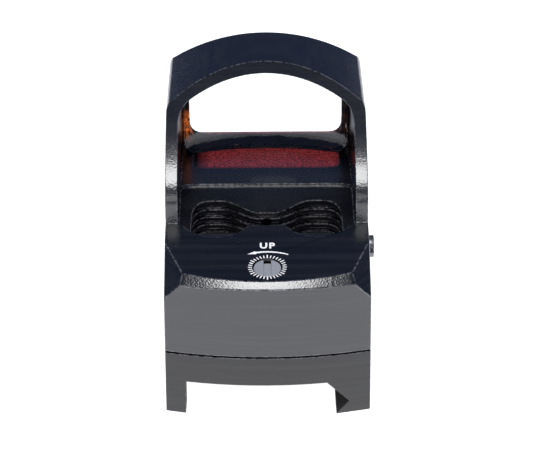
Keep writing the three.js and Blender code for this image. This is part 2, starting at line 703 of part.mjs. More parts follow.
function tiltedGroup() {
  const group = new THREE.Group();
  group.applyMatrix4(elevationFrame());
  const detentSpring = springGeometry(...SPRING.detent).rotateY(Math.PI / 2);
  const returnSpring = springGeometry(...SPRING.lift);
  const sideSpring = springGeometry(...SPRING.side).rotateY(Math.PI / 2);
  const detentBall = new THREE.SphereGeometry(DETENT.ball, 12, 8);
  group.add(
    piece("elevation_dial", elevationDial(), "steel"),
    piece("elevation_seal", ring(1.4, 0.22, 24).translate(0, 0, -2.9), "rubber"),
    piece("elevation_detent_ball", detentBall.translate(DETENT.x, 0, DETENT.z), "steel"),
    piece("elevation_detent_spring", detentSpring.translate(DETENT.springX, 0, DETENT.z), "steel"),
    piece("elevation_nut", elevationNut(), "brass"),
    piece("emitter_block", emitterBlock(), "plastic"),
    piece("led_board", block(-1.4, 1.4, 7.65, 7.95, -5, -2.9), "board"),
    piece("led_emitter", block(-0.4, 0.4, 8.1, 8.4, -3.9, -3.1), "emitter"),
    piece("emitter_return_spring", returnSpring.translate(0, 5.85, -10.2), "steel"),
    piece("windage_carriage", windageCarriage(), "brass"),
    piece("carriage_return_spring", sideSpring.translate(-6.95, 5.8, -6), "steel"),
  );
  return group;
}

const finder = new THREE.Group();
finder.add(...bodyPieces(), ...opticPieces(), ...controlPieces(), ...electronicPieces());
finder.add(tiltedGroup());
finder.position.y = -LENGTH / 2;

export default finder;
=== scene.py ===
import json
import math

import bmesh
import bpy
from bpy.props import FloatProperty, FloatVectorProperty, IntProperty, PointerProperty
from mathutils import Matrix, Vector

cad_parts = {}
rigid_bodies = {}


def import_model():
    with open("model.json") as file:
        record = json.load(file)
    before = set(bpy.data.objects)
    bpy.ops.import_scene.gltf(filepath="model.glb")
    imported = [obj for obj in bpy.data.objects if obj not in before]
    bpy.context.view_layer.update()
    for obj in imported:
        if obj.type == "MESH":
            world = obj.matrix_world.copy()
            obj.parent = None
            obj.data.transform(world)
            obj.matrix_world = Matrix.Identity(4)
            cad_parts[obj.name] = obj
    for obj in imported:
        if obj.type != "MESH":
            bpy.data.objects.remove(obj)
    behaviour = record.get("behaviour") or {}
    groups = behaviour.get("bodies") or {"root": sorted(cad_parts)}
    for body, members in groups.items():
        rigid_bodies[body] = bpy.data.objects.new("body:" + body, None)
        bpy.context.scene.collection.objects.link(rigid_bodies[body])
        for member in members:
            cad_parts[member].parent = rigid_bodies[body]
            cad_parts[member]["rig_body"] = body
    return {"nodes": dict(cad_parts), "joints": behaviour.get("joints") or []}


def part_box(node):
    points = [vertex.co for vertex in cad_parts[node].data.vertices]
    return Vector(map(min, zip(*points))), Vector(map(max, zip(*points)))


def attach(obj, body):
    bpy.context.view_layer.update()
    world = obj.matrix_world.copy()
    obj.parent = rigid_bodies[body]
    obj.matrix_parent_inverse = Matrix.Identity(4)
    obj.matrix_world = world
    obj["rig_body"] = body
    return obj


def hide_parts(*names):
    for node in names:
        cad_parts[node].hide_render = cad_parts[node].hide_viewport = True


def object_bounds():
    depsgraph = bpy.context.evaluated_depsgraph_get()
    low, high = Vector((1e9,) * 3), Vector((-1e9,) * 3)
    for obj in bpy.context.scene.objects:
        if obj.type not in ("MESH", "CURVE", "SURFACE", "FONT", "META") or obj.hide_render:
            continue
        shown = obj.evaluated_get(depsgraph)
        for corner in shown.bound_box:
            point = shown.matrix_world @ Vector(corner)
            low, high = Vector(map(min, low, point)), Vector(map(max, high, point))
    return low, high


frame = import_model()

bl_info = {
    "name": "Red Dot Finder",
    "version": (1, 0, 0),
    "blender": (4, 5, 0),
    "location": "View3D > Sidebar > Finder",
    "description": "Dresses the frame of a compact reflex finder with finished pieces",
    "category": "Object",
}

CAD_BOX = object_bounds()
NODES = frame["nodes"]
MM = 0.001
BLACK = (0, 0, 0, 1)
SHARP = math.radians(26)  # an edge turned more than this gets a rounded edge
WIDE_EDGE = 0.8 * MM  # the soft corners of the hood
LONG_TICKS = (0, 5, 11)  # of every sixteen

JOINTS = {joint["name"]: joint for joint in frame["joints"]}
DIAL_PLACE = Vector(JOINTS["elevation_turn"]["pos_m"])
DIAL_AXIS = Vector(JOINTS["elevation_turn"]["axis"]).normalized()
DIAL_TILT = math.atan2(-DIAL_AXIS.y, DIAL_AXIS.z)

HOUSING_HIGH = Vector(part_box("housing")[1])
SLOT_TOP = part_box("rail_mount")[1][2] - 3.99 * MM  # just above the roof of the rail slot
SLOT_REACH = 11.05 * MM  # just past its sides, from the middle
VIEW_OFFSET = Vector((-0.24, -5.55, 0.895)) * MM  # from the middle of the box to the aim

# Where the coated lens throws its light, in millimetres.
SEAL_LOW, SEAL_HIGH = (Vector(corner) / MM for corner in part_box("lens_seal"))
FRONT = HOUSING_HIGH.y / MM
GLOW_WIDTH = (-8.0, 9.6)
DECK_ALONG = (FRONT - 9.05, FRONT - 2.75)
DECK_HEIGHT = (SEAL_LOW.z - 0.5, SEAL_LOW.z - 0.1)
LIP_ALONG = (FRONT - 0.95, FRONT + 0.05)
LIP_HEIGHT = (SEAL_LOW.z + 0.9, SEAL_LOW.z + 1.9)
END_ACROSS = (SEAL_HIGH.x - 0.7, SEAL_HIGH.x + 0.3)
END_HEIGHT = (SEAL_LOW.z + 1.7, SEAL_LOW.z + 6.5)


# ---- Settings -----------------------------------------------------------------------------
def colour_setting(name, description, default):
    return FloatVectorProperty(
        name=name, description=description, default=default, size=3, min=0, max=1, subtype="COLOR"
    )


def length_setting(name, description, default):
    return FloatProperty(name=name, description=description, default=default, unit="LENGTH")


class FinderEdges(bpy.types.PropertyGroup):
    body: length_setting("Body edges", "Width of the rounded edges of the housing", 0.13 * MM)
    mount: length_setting("Mount edges", "Width of the rounded edges of the rail mount", 0.08 * MM)
    hardware: length_setting("Hardware edges", "Width of the edges of the small metal", 0.07 * MM)
    soft: length_setting("Soft edges", "Width of the edges of rubber and plastic", 0.12 * MM)
    glass: length_setting("Glass edges", "Width of the ground edge of the glass", 0.05 * MM)


class FinderMarks(bpy.types.PropertyGroup):
    ticks: IntProperty(
        name="Ticks", description="Ticks round the elevation dial", default=32, min=8
    )
    inner: length_setting("Inner radius", "Where the ticks start", 2.02 * MM)
    outer: length_setting("Outer radius", "Where the long ticks end", 2.67 * MM)
    height: length_setting("Letter size", "Type size of the word over the arrow", 1.66 * MM)
    thick: length_setting("Paint thickness", "How far the paint stands off the metal", 0.02 * MM)


class FinderColours(bpy.types.PropertyGroup):
    anodised: colour_setting("Anodised", "Colour of the housing", (0.004, 0.005, 0.008))
    mount: colour_setting("Mount", "Colour of the rail mount", (0.004, 0.0042, 0.006))
    steel: colour_setting("Steel", "Colour of the dials", (0.74, 0.76, 0.8))
    black_steel: colour_setting("Black steel", "Colour of the screws", (0.03, 0.03, 0.034))
    rubber: colour_setting("Rubber", "Colour of the button and seals", (0.014, 0.014, 0.016))
    paint: colour_setting("Paint", "Colour of the printed marks", (0.92, 0.92, 0.92))
    brass: colour_setting("Brass", "Colour of nuts and contacts", (0.72, 0.55, 0.27))
    board: colour_setting("Board", "Colour of the circuit boards", (0.015, 0.09, 0.035))


class FinderStage(bpy.types.PropertyGroup):
    distance: length_setting("Camera distance", "From the camera to its target", 0.3448)
    focal: FloatProperty(name="Focal length", description="Of the camera, in mm", default=170.95)
    elevation: FloatProperty(
        name="Elevation", description="Of the camera", default=math.radians(23.99), subtype="ANGLE"
    )
    azimuth: FloatProperty(
        name="Azimuth", description="Of the camera", default=math.radians(0.2), subtype="ANGLE"
    )
    roll: FloatProperty(
        name="Roll", description="Of the camera", default=math.radians(-0.34), subtype="ANGLE"
    )
    floor: colour_setting("Floor", "Colour of the floor", (0.92, 0.92, 0.92))


GROUPS = {
    "finder_edges": FinderEdges,
    "finder_marks": FinderMarks,
    "finder_colours": FinderColours,
    "finder_stage": FinderStage,
}


# ---- Shader building blocks ---------------------------------------------------------------
class Wiring:
    """Adds nodes to a node tree and joins them, working from left to right."""

    def __init__(self, tree):
        self.tree = tree
        self.column = 0

    def add(self, kind, inputs=None, **settings):
        node = self.tree.nodes.new(kind)
        self.column += 1
        node.location = (180 * self.column, 0)
        for key, value in settings.items():
            setattr(node, key, value)
        for key, value in (inputs or {}).items():
            if isinstance(value, bpy.types.NodeSocket):
                self.tree.links.new(value, node.inputs[key])
            else:
                node.inputs[key].default_value = value
        return node

    def math(self, operation, first, second=0.5):
        return self.add("ShaderNodeMath", {0: first, 1: second}, operation=operation).outputs[0]

    def fit(self, value, low, high, to_low=0.0, to_high=1.0):
        limits = {"From Min": low, "From Max": high, "To Min": to_low, "To Max": to_high}
        return self.add("ShaderNodeMapRange", {"Value": value, **limits}).outputs["Result"]

    def noise(self, place, scale, detail=2.0, roughness=0.5):
        sockets = {"Vector": place, "Scale": scale, "Detail": detail, "Roughness": roughness}
        return self.add("ShaderNodeTexNoise", sockets).outputs["Fac"]


def shader_group(name, inputs, outputs):
    """A node group of float inputs {name: default} and outputs, and its place in millimetres."""
    tree = bpy.data.node_groups.new(name, "ShaderNodeTree")
    for label, default in inputs.items():
        socket = tree.interface.new_socket(label, in_out="INPUT", socket_type="NodeSocketFloat")
        socket.default_value = default
    for label in outputs:
        tree.interface.new_socket(label, in_out="OUTPUT", socket_type="NodeSocketFloat")
    wires = Wiring(tree)
    source = wires.add("NodeGroupInput")
    metres = wires.add("ShaderNodeTexCoord").outputs["Object"]
    place = wires.add("ShaderNodeMapping", {"Vector": metres, "Scale": (1000, 1000, 1000)})
    return wires, source.outputs, place.outputs[0]


def group_named(name, maker):
    return bpy.data.node_groups.get(name) or maker(name)


def blasted_grain(name):
    """Fine pitted grain of bead-blasted and anodised metal."""
    inputs = {"Grains per mm": 5.0, "Fine share": 0.5}
    wires, given, place = shader_group(name, inputs, ["Height", "Sparkle"])
    grain = wires.noise(place, given["Grains per mm"], detail=0.0)
    fine = wires.noise(place, 16.0, detail=2.0)
    height = wires.math("ADD", grain, wires.math("MULTIPLY", fine, given["Fine share"]))
    sparkle = wires.fit(fine, 0.5, 0.72)
    wires.add("NodeGroupOutput", {"Height": height, "Sparkle": sparkle})
    return wires.tree


def machining_lines(name):
    """Long fine lines left by a cutter that ran along X, on upright faces."""
    inputs = {"Lines per mm": 4.0}
    wires, given, place = shader_group(name, inputs, ["Height"])
    stretch = wires.add("ShaderNodeMapping", {"Vector": place, "Scale": (0.01, 0.04, 1.0)})
    lines = wires.noise(stretch.outputs[0], given["Lines per mm"], detail=2.0)
    wires.add("NodeGroupOutput", {"Height": lines})
    return wires.tree


def edge_wear(name):
    """Rubbed spots along the edges, from the piece's edge attribute."""
    inputs = {"Patches per mm": 2.2, "Amount": 0.5}
    wires, given, place = shader_group(name, inputs, ["Mask"])
    edge = wires.add("ShaderNodeAttribute", attribute_name="edge").outputs["Fac"]
    patch = wires.fit(wires.noise(place, given["Patches per mm"], detail=4.0), 0.4, 0.62)
    rubbed = wires.math("MULTIPLY", edge, patch)
    wires.add("NodeGroupOutput", {"Mask": wires.math("MULTIPLY", rubbed, given["Amount"])})
    return wires.tree


def handling_dust(name):
    """Slow cloudy change in gloss, with a few specks of dust."""
    inputs = {"Clouds per mm": 0.16, "Low": 0.35, "High": 0.5}
    wires, given, place = shader_group(name, inputs, ["Roughness", "Specks"])
    cloud = wires.noise(place, given["Clouds per mm"], detail=4.0)
    span = wires.math("SUBTRACT", given["High"], given["Low"])
    gloss = wires.math("ADD", given["Low"], wires.math("MULTIPLY", cloud, span))
    specks = wires.fit(wires.noise(place, 3.1, detail=1.0), 0.74, 0.78)
    wires.add("NodeGroupOutput", {"Roughness": gloss, "Specks": specks})
    return wires.tree


def band_mask(wires, value, band, soft):
    """1 where value lies in the band, fading to 0 over soft outside it."""
    start, end = band
    rising = wires.fit(value, start - soft, start)
    return wires.math("MULTIPLY", rising, wires.fit(value, end + soft, end))


def coating_glow(name):
    """Red and amber light that the coated lens throws on the metal and rubber round it."""
    inputs = {"Speckles per mm": 2.8}
    wires, given, place = shader_group(name, inputs, ["Red", "Amber"])
    axes = wires.add("ShaderNodeSeparateXYZ", {"Vector": place}).outputs
    across = wires.math("ABSOLUTE", axes["X"])
    grain = wires.noise(place, given["Speckles per mm"], detail=2.0)
    speckle = wires.fit(grain, 0.36, 0.66, 0.12, 1.0)
    deck = band_mask(wires, axes["Y"], DECK_ALONG, 1.2)
    deck = wires.math("MULTIPLY", deck, band_mask(wires, axes["Z"], DECK_HEIGHT, 0.1))
    lip = band_mask(wires, axes["Y"], LIP_ALONG, 0.1)
    lip = wires.math("MULTIPLY", lip, band_mask(wires, axes["Z"], LIP_HEIGHT, 0.4))
    red = wires.math("MULTIPLY", wires.math("ADD", deck, lip), speckle)
    red = wires.math("MULTIPLY", red, band_mask(wires, axes["X"], GLOW_WIDTH, 2.0))
    ends = wires.math("MULTIPLY", band_mask(wires, across, END_ACROSS, 0.4), speckle)
    streak = wires.noise(place, 0.9, detail=3.0)
    amber = wires.math("MULTIPLY", ends, wires.fit(streak, 0.42, 0.62))
    left = wires.fit(axes["X"], 4.0, -4.0, 0.04, 1.0)
    amber = wires.math("MULTIPLY", amber, left)
    amber = wires.math("MULTIPLY", amber, band_mask(wires, axes["Z"], END_HEIGHT, 0.5))
    wires.add("NodeGroupOutput", {"Red": red, "Amber": amber})
    return wires.tree


def place_group(wires, name, maker, **values):
    node = wires.add("ShaderNodeGroup", node_tree=group_named(name, maker))
    for label, value in values.items():
        node.inputs[label.replace("_", " ")].default_value = value
    return node.outputs


def new_material(name):
    material = bpy.data.materials.new(name)
    material.use_nodes = True
    tree = material.node_tree
    tree.nodes.clear()
    return material, Wiring(tree)


def finish_material(wires, bsdf):
    wires.add("ShaderNodeOutputMaterial", {"Surface": bsdf.outputs[0]})


def mix_colour(wires, mask, low, high):
    sockets = {0: mask, 6: low, 7: high}
    node = wires.add("ShaderNodeMix", data_type="RGBA")
    for index, value in sockets.items():
        if isinstance(value, bpy.types.NodeSocket):
            wires.tree.links.new(value, node.inputs[index])
        else:
            node.inputs[index].default_value = value
    return node.outputs[2]


def rgba(colour, gain=1.0):
    return (*(channel * gain for channel in colour[:3]), 1.0)


def bump(wires, height, distance):
    sockets = {"Height": height, "Distance": distance}
    return wires.add("ShaderNodeBump", sockets).outputs["Normal"]


def glow_colour(wires, which, glow):
    """The colour given off where the lens throws its red or amber light."""
    mask = place_group(wires, "Coating glow", coating_glow)[which]
    return mix_colour(wires, mask, BLACK, rgba(glow))


# ---- Materials ----------------------------------------------------------------------------
def anodised_material(name, colour, line_share=0.12, wear=0.38, ior=1.8, glow=None):
    """Black hard-anodised aluminium: blasted grain, cutter lines and slightly rubbed edges."""
    material, wires = new_material(name)
    grain = place_group(wires, "Blasted grain", blasted_grain, Grains_per_mm=4.4, Fine_share=0.04)
    lines = place_group(wires, "Machining lines", machining_lines)["Height"]
    rubbed = place_group(wires, "Edge wear", edge_wear, Amount=wear)["Mask"]
    dust = place_group(wires, "Handling dust", handling_dust, Low=0.17, High=0.25)
    height = wires.math("ADD", grain["Height"], wires.math("MULTIPLY", lines, line_share))
    tone = mix_colour(wires, grain["Sparkle"], rgba(colour), rgba(colour, 1.6))
    tone = mix_colour(wires, wires.fit(lines, 0.4, 0.7), tone, (0.016, 0.016, 0.018, 1.0))
    tone = mix_colour(wires, rubbed, tone, (0.5, 0.5, 0.53, 1.0))
    shade = wires.add(
        "ShaderNodeBsdfPrincipled",
        {
            "Base Color": tone,
            "IOR": ior,
            "Metallic": rubbed,
            "Roughness": dust["Roughness"],
            "Normal": bump(wires, height, 0.018 * MM),
            "Emission Color": glow_colour(wires, "Red", glow) if glow else BLACK,
            "Emission Strength": 1.0,
        },
    )
    finish_material(wires, shade)
    return material


def metal_material(name, colour, rough=(0.2, 0.34), metallic=1.0, wear=0.3):
    """Turned or drawn metal with fine grain and a few rubbed edges."""
    material, wires = new_material(name)
    grain = place_group(wires, "Blasted grain", blasted_grain, Grains_per_mm=9.0)
    rubbed = place_group(wires, "Edge wear", edge_wear, Amount=wear)["Mask"]
    dust = place_group(wires, "Handling dust", handling_dust, Low=rough[0], High=rough[1])
    tone = mix_colour(wires, grain["Sparkle"], rgba(colour, 0.85), rgba(colour))
    # Rubbed faces take a pale tone; on the elevation dial's slot floor this is partly a painted
    # highlight.
    tone = mix_colour(wires, rubbed, tone, (0.7, 0.7, 0.7, 1.0))
    shade = wires.add(
        "ShaderNodeBsdfPrincipled",
        {
            "Base Color": tone,
            "Metallic": metallic,
            "Roughness": dust["Roughness"],
            "Normal": bump(wires, grain["Height"], 0.004 * MM),
        },
    )
    finish_material(wires, shade)
    return material


def moulded_material(name, colour, rough=(0.5, 0.7), glow=None, light=0.0):
    """Moulded rubber or plastic with a fine spark-eroded grain and dust, giving off painted light
    where glow or light is set.
    """
    material, wires = new_material(name)
    grain = place_group(wires, "Blasted grain", blasted_grain, Grains_per_mm=6.0)
    dust = place_group(wires, "Handling dust", handling_dust, Low=rough[0], High=rough[1])
    tone = mix_colour(wires, grain["Sparkle"], rgba(colour), rgba(colour, 1.5))
    tone = mix_colour(wires, dust["Specks"], tone, rgba(colour, 3.0))
    # Painted light given off: where glow is set, the amber glow from the lens; elsewhere a glow of
    # the material's own colour, scaled by light (zero unless set).
    painted_glow = glow_colour(wires, "Amber", glow) if glow else rgba(colour, light)
    shade = wires.add(
        "ShaderNodeBsdfPrincipled",
        {
            "Base Color": tone,
            "Roughness": dust["Roughness"],
            "Normal": bump(wires, grain["Height"], 0.01 * MM),
            "Emission Color": painted_glow,
            "Emission Strength": 1.0,
        },
    )
    finish_material(wires, shade)
    return material


def glass_material(name, tint, roughness=0.01):
    material, wires = new_material(name)
    dust = place_group(wires, "Handling dust", handling_dust, Low=roughness, High=roughness + 0.03)
    shade = wires.add(
        "ShaderNodeBsdfPrincipled",
        {
            "Base Color": rgba(tint),
            "Roughness": dust["Roughness"],
            "Transmission Weight": 1.0,
            "IOR": 1.52,
        },
    )
    finish_material(wires, shade)
    return material


def material_named(name, maker, *values, **settings):
    return bpy.data.materials.get(name) or maker(name, *values, **settings)


# ---- Mesh tools ---------------------------------------------------------------------------
def object_from(bm, name, material):
    """Makes one object of a bmesh, with its place in its mesh."""
    mesh = bpy.data.meshes.new(name)
    bm.to_mesh(mesh)
    bm.free()
    mesh.materials.append(material)
    piece = bpy.data.objects.new(name, mesh)
    bpy.context.scene.collection.objects.link(piece)
    return piece


def body_of_node(node):
    return NODES[node]["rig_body"]


def mark_edges(bm, faces):
    layer = bm.loops.layers.float_color.new("edge")
    rounded = set(faces)
    for face in bm.faces:
        worn_and_lit = 1.0 if face in rounded else 0.0
        for loop in face.loops:
            loop[layer] = (worn_and_lit, worn_and_lit, worn_and_lit, 1.0)


def near_dial(edge):
    """The bore of the elevation dial, which stays crisp inside the ring of ticks."""
    middle = (edge.verts[0].co + edge.verts[1].co) / 2 - DIAL_PLACE
    height = middle.dot(DIAL_AXIS)
    return abs(height) < 1 * MM and (middle - DIAL_AXIS * height).length < 2.3 * MM


def slot_floor(face):
    """The floor of the elevation dial's slot, polished by the screwdriver and given the rubbed
    finish also as a painted highlight of the light falling on it.
    """
    height = (face.calc_center_median() - DIAL_PLACE).dot(DIAL_AXIS)
    return -1.2 * MM < height < -0.2 * MM and face.normal.dot(DIAL_AXIS) > 0.9


def near_groove(edge):
    """The rail groove, whose point comes close to another edge of the rear face."""
    middle = (edge.verts[0].co + edge.verts[1].co) / 2
    beside = SLOT_REACH - 2.55 * MM < middle.x < SLOT_REACH + 0.05 * MM
    return beside and middle.z < SLOT_TOP - 0.96 * MM


def hood_corner(edge):
    """The two long edges where the sides of the hood meet its crown."""
    low = min(vert.co.z for vert in edge.verts)
    outside = abs(edge.verts[0].co.x) > HOUSING_HIGH.x - 0.2 * MM
    return outside and low > HOUSING_HIGH.z - 4.15 * MM and edge.calc_length() > 15 * MM


def round_edges(bm, edges, width, segments):
    return bmesh.ops.bevel(
        bm,
        geom=edges,
        offset=width,
        offset_type="OFFSET",
        affect="EDGES",
        segments=segments,
        profile=0.5,
        material=-1,
        clamp_overlap=False,
        loop_slide=True,
    )["faces"]


def rounded_copy(node, name, width, material, segments=2, keep=None, wide=None, worn_and_lit=None):
    """A finished piece that stands for a CAD node: its shape with every sharp edge rounded.

    keep picks edges that stay sharp, wide picks edges rounded more, and the last argument picks
    faces that also take the rubbed finish, such as the dial's slot floor, where it is partly a
    painted highlight.
    """
    bm = bmesh.new()
    bm.from_mesh(NODES[node].data)
    bmesh.ops.remove_doubles(bm, verts=bm.verts, dist=0.003 * MM)
    bmesh.ops.dissolve_limit(
        bm, angle_limit=math.radians(0.5), verts=bm.verts, edges=bm.edges, delimit=set()
    )
    if wide:
        round_edges(bm, [edge for edge in bm.edges if wide(edge)], WIDE_EDGE, 5)
    sharp = [edge for edge in bm.edges if edge.calc_face_angle(0) > SHARP]
    if keep:
        sharp = [edge for edge in sharp if not keep(edge)]
    rubbed = round_edges(bm, sharp, width, segments)
    if worn_and_lit:
        # Faces picked here join the rubbed ones; on the dial's slot floor that is partly a painted
        # highlight.
        rubbed += [face for face in bm.faces if worn_and_lit(face)]
    mark_edges(bm, rubbed)
    bmesh.ops.dissolve_degenerate(bm, dist=0.002 * MM, edges=bm.edges)
    for edge in bm.edges:
        edge.smooth = edge.calc_face_angle(0) < SHARP
    for face in bm.faces:
        face.smooth = True
    piece = object_from(bm, name, material)
    normals = piece.modifiers.new("Weighted normals", "WEIGHTED_NORMAL")
    normals.keep_sharp = True
    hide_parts(node)
    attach(piece, body_of_node(node))
    return piece


def repaint(node, material):
    """Gives a carried-over CAD node its finish."""
    NODES[node].data.materials.clear()
    NODES[node].data.materials.append(material)


# ---- Operators ----------------------------------------------------------------------------
class FinderOperator:
    bl_options = {"REGISTER", "UNDO"}

    def execute(self, context):
        self.build(context.scene)
        return {"FINISHED"}


class FINDER_OT_housing(FinderOperator, bpy.types.Operator):
    """Machined housing with its hood, rounded edges and anodised finish"""

    bl_idname = "finder.housing"
    bl_label = "Housing"

    def build(self, scene):
        colour = scene.finder_colours.anodised
        material = anodised_material("Anodised housing", colour, glow=(0.22, 0.026, 0.03))
        width = scene.finder_edges.body
        rounded_copy("housing", "finder_housing", width, material, keep=near_dial, wide=hood_corner)


class FINDER_OT_mount(FinderOperator, bpy.types.Operator):
    """Rail mount and the jaw that grips the rail"""

    bl_idname = "finder.mount"
    bl_label = "Rail mount and jaw"

    def build(self, scene):
        colour = scene.finder_colours.mount
        material = anodised_material("Anodised mount", colour, line_share=0.2, ior=1.62)
        width = scene.finder_edges.mount
        rail = rounded_copy("rail_mount", "finder_rail_mount", width, material, keep=near_groove)
        matt = moulded_material("Matt rail slot", colour, (0.75, 0.9))
        rail.data.materials.append(matt)
        for polygon in rail.data.polygons:
            middle = polygon.center
            if middle.z < SLOT_TOP and abs(middle.x) < SLOT_REACH and abs(polygon.normal.y) < 0.5:
                polygon.material_index = 1
        rounded_copy("clamp_jaw", "finder_clamp_jaw", width, material)


class FINDER_OT_screws(FinderOperator, bpy.types.Operator):
    """Blackened screws and the steel locating pins"""

    bl_idname = "finder.screws"
    bl_label = "Screws and pins"

    def build(self, scene):
        colours, width = scene.finder_colours, scene.finder_edges.hardware
        black = metal_material("Black steel", colours.black_steel, (0.3, 0.45), 0.7)
        names = ["clamp_screw_rear", "clamp_screw_front", "side_plug_screw"]
        names += ["mounting_screw_left", "mounting_screw_right"]
        for node in names:
            rounded_copy(node, "finder_" + node, width, black)
        steel = material_named("Turned steel", metal_material, colours.steel)
        for number in range(1, 5):
            node = "locating_pin_" + str(number)
            rounded_copy(node, "finder_" + node, width, steel)


class FINDER_OT_dials(FinderOperator, bpy.types.Operator):
    """Slotted elevation and windage dials with their seals and detent"""

    bl_idname = "finder.dials"
    bl_label = "Dials"

    def build(self, scene):
        colours, width = scene.finder_colours, scene.finder_edges.hardware
        steel = material_named("Turned steel", metal_material, colours.steel)
        satin = metal_material("Satin dial", colours.steel, (0.35, 0.5), 0.45)
        rubber = material_named("Black rubber", moulded_material, colours.rubber)
        rounded_copy("elevation_dial", "finder_elevation_dial", width, satin, worn_and_lit=slot_floor)
        dark = metal_material("Dark dial", (0.22, 0.22, 0.24), (0.25, 0.4), 0.8)
        rounded_copy("windage_dial", "finder_windage_dial", width, dark)
        for node in ("elevation_detent_ball", "elevation_detent_spring"):
            repaint(node, steel)
        for node in ("elevation_seal", "windage_seal"):
            repaint(node, rubber)


class FINDER_OT_button(FinderOperator, bpy.types.Operator):
    """Round rubber power button"""

    bl_idname = "finder.button"
    bl_label = "Power button"

    def build(self, scene):
        rubber = material_named("Black rubber", moulded_material, scene.finder_colours.rubber)
        rounded_copy("power_button", "finder_power_button", scene.finder_edges.soft, rubber, 3)


class FINDER_OT_optics(FinderOperator, bpy.types.Operator):
    """Lens with its seal, the light sensor and the emitter's window"""

    bl_idname = "finder.optics"
    bl_label = "Lens and windows"

    def build(self, scene):
        width = scene.finder_edges.glass
        lens = glass_material("Lens glass", (0.96, 1.0, 1.0))
        clear = glass_material("Window glass", (0.95, 0.96, 0.96))
        dark = glass_material("Sensor glass", (0.06, 0.06, 0.07), 0.05)
        rubber = material_named("Black rubber", moulded_material, scene.finder_colours.rubber)
        rounded_copy("lens", "finder_lens", width, lens)
        rounded_copy("emitter_window", "finder_emitter_window", width, clear)
        rounded_copy("light_sensor", "finder_light_sensor", width, dark)
        sealant = moulded_material("Lens seal", scene.finder_colours.rubber, glow=(0.9, 0.2, 0.035))
        rounded_copy("lens_seal", "finder_lens_seal", width, sealant)
        repaint("base_seal", rubber)


class FINDER_OT_electronics(FinderOperator, bpy.types.Operator):
    """Coin cell, contacts, circuit board, switch and ribbon"""

    bl_idname = "finder.electronics"
    bl_label = "Electronics"

    def build(self, scene):
        colours, width = scene.finder_colours, scene.finder_edges.hardware
        steel = material_named("Turned steel", metal_material, colours.steel)
        brass = material_named("Brass", metal_material, colours.brass)
        board = material_named("Solder mask", moulded_material, colours.board, (0.3, 0.45))
        plastic = material_named("Black plastic", moulded_material, colours.rubber, (0.4, 0.55))
        film = moulded_material("Amber film", (0.5, 0.24, 0.04), (0.25, 0.4))
        resin = moulded_material("Red resin", (0.6, 0.02, 0.01), (0.1, 0.2))
        finishes = {
            "battery": steel,
            "battery_contact_upper": brass,
            "battery_contact_lower": brass,
            "circuit_board": board,
            "led_board": board,
            "controller_chip": plastic,
            "tactile_switch": plastic,
            "flex_ribbon": film,
            "led_emitter": resin,
        }
        for node, material in finishes.items():
            rounded_copy(node, "finder_" + node, width / 2, material)


class FINDER_OT_mechanism(FinderOperator, bpy.types.Operator):
    """Nut, carriage, emitter block and their springs"""

    bl_idname = "finder.mechanism"
    bl_label = "Adjusting mechanism"

    def build(self, scene):
        colours, width = scene.finder_colours, scene.finder_edges.hardware
        brass = material_named("Brass", metal_material, colours.brass)
        plastic = material_named("Black plastic", moulded_material, colours.rubber, (0.4, 0.55))
        steel = material_named("Turned steel", metal_material, colours.steel)
        rounded_copy("elevation_nut", "finder_elevation_nut", width, brass)
        rounded_copy("windage_carriage", "finder_windage_carriage", width, brass)
        rounded_copy("emitter_block", "finder_emitter_block", width, plastic)
        for node in ("emitter_return_spring", "carriage_return_spring"):
            repaint(node, steel)


def dial_matrix(thick):
    """From the plane of the printed marks, X right and Y up the slope, to the object."""
    lift = Matrix.Translation(DIAL_PLACE + DIAL_AXIS * (thick * 0.5 + 0.004 * MM))
    return lift @ Matrix.Rotation(DIAL_TILT, 4, "X")


